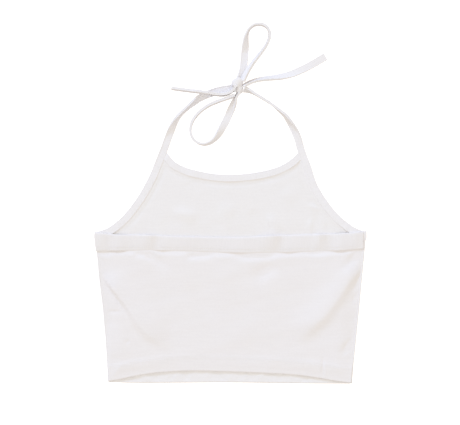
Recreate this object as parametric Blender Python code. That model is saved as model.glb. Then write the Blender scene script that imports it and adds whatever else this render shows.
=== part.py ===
# Halter-neck crop top in fine jersey, laid flat with its back up and its ties in a bow.
# X runs across the garment, Y from the hem to the bow, Z up from the surface it lies on.
import bpy
import numpy as np

MM = 0.001

# Cloth and sewing sizes, in millimetres
PANEL_WALL = 1.2
HEM_WALL = 2.0            # panel and its turned-up hem together
HEM_DEPTH = 20.0
HEM_STEP = 1.0            # length over which the hem thins to the single wall
HEM_CLEARANCE = 16.0      # length over which the back comes down off the front's hem
SEAM_GAP = 0.3
BINDING_GAP = 0.6         # seam gap along the curved bindings, whose facets need more room
STRIP_WIDTH = 10.6        # folded binding, which runs on as the tie
STRIP_WALL = 2.0
NECK_BINDING_WIDTH = 9.9
EDGE_ROUND = 0.7          # bevel on the long edges of a strip
BAND_WALL = 2.4
BAND_LIP = 3.0            # cloth below the stitching that holds the elastic
BAND_GROOVE = 1.5         # wall at the stitching
BAND_STEP_START = 138.0   # where the band starts to climb over the armhole bindings
BAND_STEP_END = 158.0
BACK_PUFF = 0.9           # how far the back lies off the front away from its edges
PUFF_MARGIN = 26.0

# Outer edges of the armhole bindings: y, left x, right x
ARMHOLE = [
    (79.0, -97.2, 102.6),
    (67.0, -102.0, 106.6),
    (53.9, -107.2, 111.6),
    (42.7, -111.7, 115.4),
    (31.5, -117.0, 118.9),
    (20.3, -122.9, 124.2),
    (9.1, -129.8, 131.0),
    (-2.1, -137.5, 138.9),
    (-13.3, -146.4, 148.0),
    (-24.5, -157.6, 160.0),
    (-35.3, -173.0, 176.0),
    (-40.6, -188.0, 190.0),
]

# Side seams: y, left x, right x
SIDES = [
    (-40.0, -189.4, 189.4),
    (-47.0, -190.0, 189.3),
    (-58.0, -188.7, 188.4),
    (-80.5, -186.3, 186.3),
    (-103.0, -184.5, 184.1),
    (-148.0, -178.9, 180.0),
    (-193.0, -175.0, 175.4),
    (-237.0, -172.1, 171.0),
    (-252.0, -171.4, 170.0),
]

# Upper edge of the neckline binding: x, y
NECKLINE = [
    (-90.5, 72.0),
    (-75.7, 56.1),
    (-64.5, 50.5),
    (-42.1, 44.2),
    (-19.7, 40.5),
    (2.7, 39.8),
    (25.1, 41.4),
    (47.5, 45.2),
    (69.9, 52.1),
    (81.1, 58.5),
    (96.4, 72.0),
]

# Elastic band: x, y of its upper edge, y of its stitching
BAND = [
    (-189.8, -40.3, -64.3),
    (-165.0, -43.4, -63.9),
    (-122.0, -44.1, -63.4),
    (-72.0, -46.3, -64.0),
    (-22.0, -47.3, -65.8),
    (16.0, -47.3, -66.8),
    (53.0, -45.4, -66.8),
    (103.0, -44.1, -65.2),
    (153.0, -42.3, -63.4),
    (184.7, -39.8, -61.2),
]

# Lower edge of the back: x, y
BACK_HEM = [
    (-171.4, -248.2),
    (-158.0, -246.2),
    (-135.5, -241.4),
    (-113.0, -237.6),
    (-82.5, -234.9),
    (-52.0, -233.9),
    (-8.0, -234.9),
    (45.0, -236.9),
    (99.0, -240.5),
    (129.0, -244.9),
    (144.0, -247.6),
    (169.0, -251.2),
]

# Lower edge of the front: x, y
FRONT_HEM = [
    (-171.4, -249.8),
    (-150.0, -250.6),
    (-60.0, -250.6),
    (-15.0, -250.3),
    (60.0, -251.1),
    (95.0, -251.7),
    (150.0, -252.0),
    (170.0, -252.0),
]

# Ties past the armholes: x, y, lift off the surface, roll about the run in degrees
LEFT_STRAP = [
    (-88.1, 88.9, 0.0, 3.0),
    (-83.6, 100.1, 0.0, 18.0),
    (-78.2, 111.3, 0.0, 46.0),
    (-74.6, 116.9, 0.0, 56.0),
    (-70.0, 122.5, 0.0, 62.0),
    (-64.4, 128.1, 0.0, 64.0),
    (-58.2, 133.7, 0.0, 60.0),
    (-51.5, 139.3, 0.0, 52.0),
    (-44.8, 144.9, 0.0, 40.0),
    (-36.6, 149.9, 0.0, 20.0),
    (-28.1, 153.4, 0.0, 8.0),
    (-21.1, 155.9, 0.0, 0.0),
    (-12.0, 158.2, 0.0, 0.0),
    (4.6, 160.5, 0.0, 0.0),
]
RIGHT_STRAP = [
    (94.4, 88.9, 0.0, -14.0),
    (89.5, 100.1, 0.0, -28.0),
    (86.2, 105.7, 0.0, -38.0),
    (82.8, 111.3, 0.0, -46.0),
    (79.1, 116.9, 0.0, -56.0),
    (74.7, 122.5, 0.0, -66.0),
    (69.9, 127.0, 0.0, -72.0),
    (62.9, 133.1, 0.0, -75.0),
    (55.9, 138.5, 0.0, -75.0),
    (41.9, 147.3, 0.0, -73.0),
    (34.9, 151.4, 0.0, -70.0),
    (27.4, 155.9, 0.0, -64.0),
    (17.9, 158.1, 0.0, -62.0),
]

# Bow: x, y, lift, roll along each stretch, from the knot outwards
UPPER_LOOP = [
    (10.9, 173.5, 0.0, 42.0),
    (14.8, 180.0, 0.0, 24.0),
    (17.9, 189.7, 0.0, 10.0),
    (19.0, 200.9, 0.0, 4.0),
    (19.9, 210.0, 0.0, 12.0),
    (20.6, 217.7, 0.0, 30.0),
    (21.2, 226.0, 0.0, 52.0),
    (22.7, 235.5, 0.0, 70.0),
    (27.0, 244.0, 0.0, 76.0),
    (34.9, 248.8, 0.0, 78.0),
    (42.5, 249.0, 0.0, 78.0),
    (49.5, 246.0, 0.0, 80.0),
    (53.9, 239.0, 0.0, 88.0),
    (54.2, 232.0, 0.0, 95.0),
    (51.7, 223.3, 0.0, 99.0),
    (44.4, 212.1, 0.2, 98.0),
    (35.4, 200.9, 1.6, 91.0),
    (26.9, 189.9, 3.0, 78.0),
    (20.4, 179.2, 3.8, 68.0),
    (15.3, 170.4, 5.2, 66.0),
]
LOWER_LOOP = [
    (10.6, 152.7, 0.6, 68.0),
    (7.9, 149.0, 0.2, 67.0),
    (6.0, 144.9, 0.0, 63.0),
    (4.0, 138.6, 0.0, 48.0),
    (0.2, 129.7, 0.0, 20.0),
    (-5.4, 116.9, 0.0, 0.0),
    (-11.3, 105.7, 0.0, -10.0),
    (-18.1, 94.5, 0.0, -32.0),
    (-23.5, 88.2, 0.0, -52.0),
    (-29.5, 84.0, 0.0, -68.0),
    (-38.5, 82.0, 0.0, -76.0),
    (-47.0, 84.4, 0.0, -83.0),
    (-53.0, 90.8, 0.0, -90.0),
    (-55.8, 100.1, 0.0, -96.0),
    (-54.0, 111.3, 0.0, -99.0),
    (-47.2, 122.3, 0.0, -102.0),
    (-35.1, 132.9, 0.0, -105.0),
    (-21.1, 140.0, 0.0, -106.0),
    (-7.1, 144.9, 0.0, -106.0),
    (2.2, 148.2, 0.0, -105.0),
]
LEFT_TAIL = [
    (5.2, 161.0, 3.0, -86.0),
    (2.9, 157.4, 2.6, -82.0),
    (-0.5, 153.8, 2.4, -79.0),
    (-7.1, 151.0, 2.4, -76.0),
    (-14.1, 150.5, 2.6, -76.0),
    (-21.1, 151.0, 3.2, -75.0),
    (-28.1, 152.0, 4.7, -74.0),
    (-36.0, 153.0, 6.4, -73.0),
    (-45.0, 154.5, 5.2, -73.0),
    (-56.0, 156.0, 1.2, -73.0),
    (-66.0, 157.4, 0.0, -74.0),
    (-82.0, 159.5, 0.0, -75.0),
]
RIGHT_TAIL = [
    (17.5, 164.7, 3.0, -70.0),
    (27.9, 169.2, 1.6, -62.0),
    (34.9, 171.4, 0.6, -56.0),
    (44.0, 173.1, 0.0, -48.0),
    (55.9, 174.6, 0.0, -44.0),
    (69.9, 176.4, 0.0, -38.0),
    (83.9, 179.8, 0.0, -28.0),
    (97.9, 185.6, 0.0, -14.0),
    (111.9, 192.6, 0.0, -2.0),
    (132.3, 204.6, 0.0, 0.0),
]

# Knot: x, y, half width, height of each section from the upper to the lower wrap
KNOT = [
    (8.4, 172.4, 2.0, 5.0),
    (8.9, 170.0, 4.6, 9.0),
    (9.8, 166.8, 5.9, 11.2),
    (10.8, 163.6, 5.6, 10.8),
    (11.5, 161.2, 4.6, 9.0),
    (12.2, 158.8, 4.8, 9.6),
    (13.0, 156.4, 4.2, 8.4),
    (13.6, 154.6, 2.2, 4.5),
]
KNOT_SECTION = [(-0.8, 0.0), (-1.0, 0.3), (-0.86, 0.72), (-0.45, 0.95), (0.0, 1.0),
                (0.45, 0.95), (0.86, 0.72), (1.0, 0.3), (0.8, 0.0)]

# Folds of the back: height, width, then the line each one follows as x, y
BACK_FOLDS = [
    (2.6, 13.0, [(-176, -78), (-160, -108), (-138, -142), (-116, -168), (-92, -188)]),
    (-1.6, 7.0, [(-180, -102), (-165, -128), (-146, -155), (-125, -178), (-100, -197)]),
    (2.8, 15.0, [(180, -76), (160, -112), (134, -141), (103, -170), (72, -192)]),
    (-1.6, 7.0, [(178, -105), (166, -122), (152, -145), (131, -168), (100, -194)]),
    (1.1, 9.0, [(-155, -74), (-150, -96)]),
    (1.2, 11.0, [(-86, -74), (-74, -106)]),
    (1.3, 9.0, [(-12, -76), (-10, -92)]),
    (1.1, 12.0, [(76, -76), (70, -112)]),
    (1.2, 9.0, [(140, -76), (132, -98)]),
    (0.9, 16.0, [(-30, -130), (20, -160)]),
]
# Folds of the front above the band, in the same columns
FRONT_FOLDS = [
    (1.5, 10.0, [(-78, -14), (-50, -18)]),
    (1.2, 9.0, [(-20, -36), (-14, -6)]),
    (1.4, 11.0, [(26, -14), (52, -40)]),
    (1.1, 8.0, [(92, 4), (112, -4)]),
]
BAND_WAVES = [(-184, 9.0, 0.5), (-112, 8.0, 0.6), (-20, 26.0, 0.4), (62, 9.0, 0.6), (126, 8.0, 0.6)]

ARM_COLUMNS = 15
FRONT_COLUMNS = 54
UNDERARM_DROP = 1.6       # the front's corner below the end of each armhole binding
SIDE_ROLL_LEFT = 0.5      # how far the front's edge shows past the back's at the side seams
SIDE_ROLL_RIGHT = 1.4
BAND_LEAN = 40.0          # length over which the band's left end leans with the side seam
BACK_COLUMNS = 52
BAND_COLUMNS = 56
NECK_COLUMNS = 36
STRIP_STEP = 4.2
LOOP_STEP = 3.2


def clear_scene():
    for item in list(bpy.data.objects):
        bpy.data.objects.remove(item, do_unlink=True)


def cloth(name, colour, roughness):
    material = bpy.data.materials.new(name)
    material.use_nodes = True
    shader = material.node_tree.nodes["Principled BSDF"]
    shader.inputs["Base Color"].default_value = (*colour, 1.0)
    shader.inputs["Roughness"].default_value = roughness
    shader.inputs["Metallic"].default_value = 0.0
    return material


def solid(name, points, faces, material):
    # One object whose points are given in millimetres
    mesh = bpy.data.meshes.new(name)
    mesh.from_pydata((np.asarray(points) * MM).tolist(), [], faces)
    mesh.materials.append(material)
    mesh.shade_smooth()
    mesh.set_sharp_from_angle(angle=np.radians(50.0))
    item = bpy.data.objects.new(name, mesh)
    bpy.context.scene.collection.objects.link(item)
    return item


def through(rows, count=None, step=None):
    # Smooth curve through the rows, read at even distances along its first two columns
    rows = np.array(rows, float)
    reach = np.hypot(*np.diff(rows[:, :2], axis=0).T)
    knots = np.concatenate([[0.0], np.cumsum(reach)])
    slopes = np.gradient(rows, knots, axis=0)
    fine = np.linspace(0.0, knots[-1], 40 * len(rows))
    span = np.clip(np.searchsorted(knots, fine, side="right") - 1, 0, len(knots) - 2)
    width = (knots[span + 1] - knots[span])[:, None]
    t = (fine - knots[span])[:, None] / width
    curve = (
        (2 * t**3 - 3 * t**2 + 1) * rows[span]
        + (t**3 - 2 * t**2 + t) * width * slopes[span]
        + (3 * t**2 - 2 * t**3) * rows[span + 1]
        + (t**3 - t**2) * width * slopes[span + 1]
    )
    return even(curve, count, step)


def even(curve, count=None, step=None):
    # The same line, read at even distances
    reach = np.hypot(*np.diff(curve[:, :2], axis=0).T)
    along = np.concatenate([[0.0], np.cumsum(reach)])
    if count is None:
        count = int(np.ceil(along[-1] / step)) + 1
    places = np.linspace(0.0, along[-1], count)
    return np.stack([np.interp(places, along, column) for column in curve.T], axis=1)


def beside(curve, distance):
    # The curve moved to its left by a distance
    run = np.gradient(curve[:, :2], axis=0)
    run /= np.hypot(*run.T)[:, None]
    return curve[:, :2] + distance * np.stack([-run[:, 1], run[:, 0]], axis=1)


def height_at(curve, x):
    # y of a line whose x grows from end to end
    return np.interp(x, curve[:, 0], curve[:, 1])


def crossing(first, second):
    # Index on the first line, and point, where it comes nearest the second
    gap = np.linalg.norm(first[:, None] - second[None], axis=2)
    index = np.unravel_index(np.argmin(gap), gap.shape)[0]
    return index, first[index]


def grid_faces(rows, columns, offset, flip):
    faces = []
    for r in range(rows - 1):
        for c in range(columns - 1):
            a = offset + r * columns + c
            quad = (a, a + 1, a + columns + 1, a + columns)
            faces.append(quad[::-1] if flip else quad)
    return faces


def panel(name, low, high, material):
    # Closed wall between a lower and an upper grid of points, rows from the hem upwards
    rows, columns = low.shape[:2]
    count = rows * columns
    faces = grid_faces(rows, columns, 0, True) + grid_faces(rows, columns, count, False)
    rim = [c for c in range(columns)]
    rim += [r * columns + columns - 1 for r in range(1, rows)]
    rim += [(rows - 1) * columns + c for c in range(columns - 2, -1, -1)]
    rim += [r * columns for r in range(rows - 2, 0, -1)]
    for a, b in zip(rim, rim[1:] + rim[:1]):
        faces.append((a, b, b + count, a + count))
    points = np.concatenate([low.reshape(-1, 3), high.reshape(-1, 3)])
    return solid(name, points, faces, material)


def tube(name, rings, material):
    # Closed body through rings of points, each ring running the same way round
    count, sides = rings.shape[:2]
    faces = []
    for r in range(count - 1):
        for s in range(sides):
            a = r * sides + s
            b = r * sides + (s + 1) % sides
            faces.append((a, a + sides, b + sides, b))
    faces.append(tuple(range(sides)))
    faces.append(tuple(range((count - 1) * sides, count * sides))[::-1])
    return solid(name, rings.reshape(-1, 3), faces, material)


def strip_section(width, wall):
    # Flat strip with bevelled long edges: across, up
    half = width / 2
    flat = half - EDGE_ROUND
    return np.array([(-half, 0.0), (-flat, wall / 2), (flat, wall / 2),
                     (half, 0.0), (flat, -wall / 2), (-flat, -wall / 2)])


def sweep(name, route, width, wall, material):
    # Strip carried along x, y, lift, roll; its lower edge rests at the lift
    roll = np.radians(route[:, 3])
    rest = width / 2 * np.abs(np.sin(roll)) + wall / 2 * np.abs(np.cos(roll))
    centre = np.column_stack([route[:, :2], route[:, 2] + rest])
    run = np.gradient(centre, axis=0)
    run /= np.linalg.norm(run, axis=1)[:, None]
    level = np.column_stack([-run[:, 1], run[:, 0], np.zeros(len(run))])
    level /= np.linalg.norm(level, axis=1)[:, None]
    above = np.cross(run, level) * -1.0
    above *= np.sign(above[:, 2])[:, None]
    side = np.cos(roll)[:, None] * level + np.sin(roll)[:, None] * above
    face = np.cos(roll)[:, None] * above - np.sin(roll)[:, None] * level
    section = strip_section(width, wall)
    rings = (
        centre[:, None]
        + section[None, :, 0, None] * side[:, None]
        + section[None, :, 1, None] * face[:, None]
    )
    return tube(name, rings, material)


def fold_height(x, y, folds):
    # Soft ridges along short lines, fading at both ends of each line
    total = np.zeros_like(x)
    for height, width, line in folds:
        line = through(line, count=24) if len(line) > 2 else even(np.array(line, float), count=24)
        gap = np.hypot(x[..., None] - line[:, 0], y[..., None] - line[:, 1])
        nearest = np.argmin(gap, axis=-1) / (len(line) - 1)
        reach = np.min(gap, axis=-1)
        fade = np.sin(np.pi * np.clip(nearest * 0.8 + 0.1, 0.0, 1.0))
        total += height * fade * np.exp(-((reach / width) ** 2))
    return total


def ease(value, start, end):
    t = np.clip((value - start) / (end - start), 0.0, 1.0)
    return t * t * (3.0 - 2.0 * t)


def arm_edges():
    # Outer edges of both armhole bindings, each from the underarm to the neck
    table = np.array(ARMHOLE)[::-1]
    return through(table[:, [1, 0]], count=200), through(table[:, [2, 0]], count=200)


def tie_route(edge, inward, strap):
    # Binding along the armhole, then the free strap, as one strip
    middle = even(beside(edge, inward * STRIP_WIDTH / 2), count=20)
    rows = [(x, y, 0.0, 0.0) for x, y in middle] + strap
    return through(rows, step=STRIP_STEP)


def front_top_edge(left_edge, right_edge, neck):
    # Upper boundary of the front: armhole, neckline, armhole, one seam gap inside each binding
    inset = STRIP_WIDTH + BINDING_GAP
    left = beside(left_edge, -inset)
    right = beside(right_edge, inset)
    lower = beside(neck, -(NECK_BINDING_WIDTH + BINDING_GAP))
    start, corner = crossing(lower, left)
    end, far_corner = crossing(lower, right)
    left = left[: crossing(left, corner[None])[0]]
    right = right[: crossing(right, far_corner[None])[0]][::-1]
    return left, lower[start : end + 1], right


def side_x(y, column):
    table = np.array(SIDES)[::-1]
    return np.interp(y, table[:, 0], table[:, column])


def back_side(y, column):
    return side_x(y, column) + (SIDE_ROLL_LEFT if column == 1 else -SIDE_ROLL_RIGHT)


def front_panel(left_edge, right_edge, neck, material):
    left, middle, right = front_top_edge(left_edge, right_edge, neck)
    left_y = left[0, 1] - UNDERARM_DROP
    right_y = right[-1, 1] - UNDERARM_DROP
    left = even(np.concatenate([[[side_x(left_y, 1), left_y]], left]), count=ARM_COLUMNS)
    right = even(np.concatenate([right, [[side_x(right_y, 2), right_y]]]), count=ARM_COLUMNS)
    middle = even(middle, count=FRONT_COLUMNS - 2 * ARM_COLUMNS + 2)[1:-1]
    top = np.concatenate([left, middle, right])
    share = np.linspace(0.0, 1.0, len(top))
    across = (top[:, 0] - top[0, 0]) / (top[-1, 0] - top[0, 0])
    foot_x = FRONT_HEM[0][0] + (FRONT_HEM[-1][0] - FRONT_HEM[0][0]) * (share + across) / 2
    hem = through(FRONT_HEM, count=60)
    foot = np.column_stack([foot_x, height_at(hem, foot_x)])
    rises = [0.0, HEM_DEPTH / 2, HEM_DEPTH, HEM_DEPTH + HEM_STEP]
    levels = [(rise, 0.0) for rise in rises]
    levels += [(rises[-1], part) for part in (0.1, 0.24, 0.38, 0.5, 0.58, 0.66, 0.74, 0.82, 0.9, 0.96, 1.0)]
    low = np.zeros((len(levels), len(top), 3))
    for r, (rise, part) in enumerate(levels):
        y = foot[:, 1] + rise + part * (top[:, 1] - foot[:, 1] - rise)
        t = (y - foot[:, 1]) / (top[:, 1] - foot[:, 1])
        x = foot[:, 0] + t * (top[:, 0] - foot[:, 0])
        pull = side_x(y, 1) - (foot[0, 0] + t * (top[0, 0] - foot[0, 0]))
        push = side_x(y, 2) - (foot[-1, 0] + t * (top[-1, 0] - foot[-1, 0]))
        x = x + (1 - across) * pull + across * push
        low[r] = np.column_stack([x, y, np.zeros(len(top))])
    clear = ease(low[..., 1], -46.0, -20.0) * (1 - ease(np.linspace(0, 1, len(levels))[:, None], 0.93, 1.0))
    low[..., 2] = clear * np.maximum(fold_height(low[..., 0], low[..., 1], FRONT_FOLDS), 0.0)
    wall = PANEL_WALL + (HEM_WALL - PANEL_WALL) * front_hem(low[..., 0], low[..., 1])
    high = low.copy()
    high[..., 2] += wall
    return panel("front_panel", low, high, material)


def front_hem(x, y):
    # 1 over the turned-up hem of the front, 0 above it
    hem = through(FRONT_HEM, count=60)
    rise = y - height_at(hem, x)
    return 1.0 - np.clip((rise - HEM_DEPTH) / HEM_STEP, 0.0, 1.0)


def over_front(x, y):
    # Height of the back's underside where it lies on the front
    rise = y - height_at(through(FRONT_HEM, count=60), x)
    hem = 1.0 - ease(rise, HEM_DEPTH + HEM_STEP, HEM_DEPTH + HEM_CLEARANCE)
    return PANEL_WALL + SEAM_GAP + (HEM_WALL - PANEL_WALL) * hem


def band_curves(count):
    rows = through(BAND, count=400)
    x = np.linspace(rows[0, 0], rows[-1, 0], count)
    upper = np.interp(x, rows[:, 0], rows[:, 1])
    stitch = np.interp(x, rows[:, 0], rows[:, 2])
    return x, upper, stitch


def back_panel(material):
    share = np.linspace(0.0, 1.0, BACK_COLUMNS)
    band_x, _, stitch = band_curves(400)
    top_x = back_side(-67.0, 1) + share * (back_side(-67.0, 2) - back_side(-67.0, 1))
    top_y = np.interp(top_x, band_x, stitch) - BAND_LIP - SEAM_GAP
    hem = through(BACK_HEM, count=200)
    foot_x = BACK_HEM[0][0] + share * (BACK_HEM[-1][0] - BACK_HEM[0][0])
    foot_y = height_at(hem, foot_x)
    levels = [(0.0, 0.0), (HEM_DEPTH / 2, 0.0), (HEM_DEPTH, 0.0), (HEM_DEPTH + HEM_STEP, 0.0)]
    levels += [(HEM_DEPTH + HEM_STEP, part) for part in np.linspace(0.0, 1.0, 22)[1:]]
    low = np.zeros((len(levels), BACK_COLUMNS, 3))
    for r, (rise, part) in enumerate(levels):
        y = foot_y + rise + part * (top_y - foot_y - rise)
        t = (y - foot_y) / (top_y - foot_y)
        x = foot_x + t * (top_x - foot_x)
        pull = back_side(y[0], 1) - x[0]
        push = back_side(y[-1], 2) - x[-1]
        x = x + (1 - share) * pull + share * push
        low[r] = np.column_stack([x, y, np.zeros(BACK_COLUMNS)])
    x = low[..., 0]
    y = low[..., 1]
    edge = np.minimum(x - x[:, :1], x[:, -1:] - x)
    edge = np.minimum(edge, np.minimum(y - foot_y, top_y - y))
    loft = BACK_PUFF * ease(edge, 0.0, PUFF_MARGIN)
    folds = fold_height(x, y, BACK_FOLDS) * ease(edge, 0.0, PUFF_MARGIN / 2)
    low[..., 2] = over_front(x, y) + np.maximum(loft + folds, 0.0)
    rise = y - foot_y
    hem_share = 1.0 - np.clip((rise - HEM_DEPTH) / HEM_STEP, 0.0, 1.0)
    high = low.copy()
    high[..., 2] += PANEL_WALL + (HEM_WALL - PANEL_WALL) * hem_share
    return panel("back_panel", low, high, material)


def back_band(material):
    # Elastic turned into the top of the back: a soft roll above, a groove at its stitching
    x, upper, stitch = band_curves(BAND_COLUMNS)
    floor = PANEL_WALL + SEAM_GAP
    floor = floor + (STRIP_WALL - PANEL_WALL) * ease(np.abs(x), BAND_STEP_START, BAND_STEP_END)
    wave = sum(height * np.exp(-(((x - place) / width) ** 2)) for place, width, height in BAND_WAVES)
    lower = stitch - BAND_LIP
    rings = []
    for i in range(len(x)):
        depth = upper[i] - stitch[i]
        section = [
            (upper[i], BAND_WALL * 0.5), (upper[i] - EDGE_ROUND, 0.0), (stitch[i], 0.0), (lower[i], 0.0),
            (lower[i], BAND_GROOVE), (stitch[i], BAND_GROOVE), (stitch[i] + 0.12 * depth, BAND_WALL * 0.94),
            (upper[i] - 0.5 * depth, BAND_WALL), (upper[i] - EDGE_ROUND, BAND_WALL * 0.92),
        ]
        lean = 1.0 - ease(x[i], x[0], x[0] + BAND_LEAN)
        start = side_x(upper[0], 1)
        rings.append([(x[i] + lean * (side_x(y, 1) - start), y, floor[i] + z + wave[i]) for y, z in section])
    return tube("back_band", np.array(rings), material)


def neck_binding(left_edge, right_edge, neck, material):
    # Strip between the upper edge of the neckline and the front, cut off along both armhole bindings
    inset = STRIP_WIDTH + BINDING_GAP
    left = beside(left_edge, -inset)
    right = beside(right_edge, inset)
    outer = neck[crossing(neck, left)[0] + 1 : crossing(neck, right)[0]]
    inner = beside(neck, -NECK_BINDING_WIDTH)
    inner = inner[crossing(inner, left)[0] + 1 : crossing(inner, right)[0]]
    outer = even(outer, count=NECK_COLUMNS)
    inner = even(inner, count=NECK_COLUMNS)
    section = strip_section(NECK_BINDING_WIDTH, STRIP_WALL)
    share = 0.5 - section[:, 0] / NECK_BINDING_WIDTH
    flat = outer[:, None] + share[None, :, None] * (inner - outer)[:, None]
    height = np.broadcast_to(section[:, 1] + STRIP_WALL / 2, flat.shape[:2])
    rings = np.concatenate([flat, height[..., None]], axis=2)
    return tube("neck_binding", rings, material)


def bow_knot(material):
    rows = np.array(KNOT)
    run = np.gradient(rows[:, :2], axis=0)
    run /= np.hypot(*run.T)[:, None]
    across = np.column_stack([-run[:, 1], run[:, 0]])
    section = np.array(KNOT_SECTION)
    flat = rows[:, None, :2] + (rows[:, 2, None] * section[None, :, 0])[..., None] * across[:, None]
    height = rows[:, 3, None] * section[None, :, 1]
    return tube("bow_knot", np.concatenate([flat, height[..., None]], axis=2), material)


def face_outwards():
    # Turn the faces of any body whose volume comes out negative
    for item in bpy.data.objects:
        mesh = item.data
        mesh.calc_loop_triangles()
        volume = 0.0
        for triangle in mesh.loop_triangles:
            a, b, c = (mesh.vertices[i].co for i in triangle.vertices)
            volume += a.dot(b.cross(c))
        if volume < 0.0:
            mesh.flip_normals()


def main():
    clear_scene()
    jersey = (0.86, 0.855, 0.855)
    left_edge, right_edge = arm_edges()
    neck = through(NECKLINE, count=400)
    front_panel(left_edge, right_edge, neck, cloth("front_jersey", jersey, 0.85))
    back_panel(cloth("back_jersey", jersey, 0.85))
    back_band(cloth("band_jersey", jersey, 0.8))
    neck_binding(left_edge, right_edge, neck, cloth("neck_binding_jersey", jersey, 0.8))
    ties = [("left_tie", tie_route(left_edge, -1, LEFT_STRAP)), ("right_tie", tie_route(right_edge, 1, RIGHT_STRAP))]
    for name, route in ties:
        sweep(name, route, STRIP_WIDTH, STRIP_WALL, cloth(name + "_jersey", jersey, 0.8))
    stretches = [("upper_loop", UPPER_LOOP), ("lower_loop", LOWER_LOOP),
                 ("left_tail", LEFT_TAIL), ("right_tail", RIGHT_TAIL)]
    for name, rows in stretches:
        route = through(rows, step=LOOP_STEP)
        sweep(name, route, STRIP_WIDTH, STRIP_WALL, cloth(name + "_jersey", jersey, 0.8))
    bow_knot(cloth("bow_knot_jersey", jersey, 0.8))
    face_outwards()


main()
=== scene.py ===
import bpy
import numpy as np
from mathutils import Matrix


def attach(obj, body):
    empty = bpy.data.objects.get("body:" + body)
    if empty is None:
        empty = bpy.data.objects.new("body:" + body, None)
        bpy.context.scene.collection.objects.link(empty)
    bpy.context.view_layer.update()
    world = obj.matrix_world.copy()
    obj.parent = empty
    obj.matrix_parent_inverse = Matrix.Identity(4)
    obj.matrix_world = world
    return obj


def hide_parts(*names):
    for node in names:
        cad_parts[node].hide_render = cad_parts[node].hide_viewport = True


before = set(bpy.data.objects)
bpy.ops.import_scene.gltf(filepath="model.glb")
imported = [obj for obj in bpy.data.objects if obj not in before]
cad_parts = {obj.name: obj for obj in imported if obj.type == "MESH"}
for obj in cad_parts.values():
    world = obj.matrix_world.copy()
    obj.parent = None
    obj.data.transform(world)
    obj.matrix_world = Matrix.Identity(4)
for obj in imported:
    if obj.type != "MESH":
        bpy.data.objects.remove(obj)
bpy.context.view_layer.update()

# White jersey halter top laid flat on its front. Sizes here are millimetres until a mesh is made.
mm = 0.001
scene = bpy.context.scene
scene.view_settings.view_transform = "Standard"

photo = {"pixel": 1.4, "width": 460, "centreX": -0.84, "centreY": -13.3, "lens": 85.0, "sensor": 36.0}


def makeCamera():
    # straight above, at the height from which the lens takes in the photograph's whole width
    camera = bpy.data.objects.new("camera", bpy.data.cameras.new("camera"))
    camera.data.lens = photo["lens"]
    camera.data.sensor_width = photo["sensor"]
    across = photo["pixel"] * photo["width"] * mm
    height = across * photo["lens"] / photo["sensor"]
    camera.location = (photo["centreX"] * mm, photo["centreY"] * mm, height)
    camera.data.clip_end = 30.0
    scene.collection.objects.link(camera)
    scene.camera = camera


makeCamera()
print("camera ready")


# Curves and grids

wave = 6.283  # one period of a sine


def ramp(value, start, end):
    # 0 before start, 1 after end, with a smooth rise between
    t = np.clip((value - start) / (end - start), 0.0, 1.0)
    return t * t * (3.0 - 2.0 * t)


def softFloor(value, bend):
    # the value where it is positive, passing smoothly to nought below: (v + sqrt(v^2 + bend^2)) / 2
    return (value + np.sqrt(value**2 + bend**2)) / 2


def travel(line):
    # distance along a line at each of its points, by its first two columns
    return np.concatenate([[0.0], np.cumsum(np.hypot(*np.diff(line[:, :2], axis=0).T))])


def evenly(curve, count=None, step=None):
    # the same line read at even distances along its first two columns
    along = travel(curve)
    if count is None:
        count = int(np.ceil(along[-1] / step)) + 1
    places = np.linspace(0.0, along[-1], count)
    return np.stack([np.interp(places, along, column) for column in curve.T], axis=1)


def smoothLine(rows, count=None, step=None):
    # cubic through the rows, whose slope at a row is that of its neighbours, then read evenly
    rows = np.array(rows, float)
    knots = travel(rows)
    slopes = np.gradient(rows, knots, axis=0)
    fine = np.linspace(0.0, knots[-1], 40 * len(rows))
    span = np.clip(np.searchsorted(knots, fine, side="right") - 1, 0, len(knots) - 2)
    width = (knots[span + 1] - knots[span])[:, None]
    t = (fine - knots[span])[:, None] / width
    curve = (
        (2 * t**3 - 3 * t**2 + 1) * rows[span]
        + (t**3 - 2 * t**2 + t) * width * slopes[span]
        + (3 * t**2 - 2 * t**3) * rows[span + 1]
        + (t**3 - t**2) * width * slopes[span + 1]
    )
    return evenly(curve, count, step)


def unit(vectors):
    return vectors / np.linalg.norm(vectors, axis=-1, keepdims=True)


def beside(curve, distance):
    # the line moved to its left
    run = np.gradient(curve[:, :2], axis=0)
    run /= np.hypot(*run.T)[:, None]
    return curve[:, :2] + distance * np.stack([-run[:, 1], run[:, 0]], axis=1)


def nearest(first, second):
    # index on the first line where it comes closest to the second
    gap = np.linalg.norm(first[:, None, :2] - second[None, :, :2], axis=2)
    return np.unravel_index(np.argmin(gap), gap.shape)[0]


driftWaves = ((1.0, 1.0, 1.0), (0.6, 0.57, 2.3), (0.35, 0.31, 4.1))  # height, share of the period, of the seed


def drift(value, period, seed):
    # slow uneven wave between about -1 and 1: three sines whose periods don't match
    return sum(high * np.sin(wave * value / (part * period) + turn * seed) for high, part, turn in driftWaves) / 1.6


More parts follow.
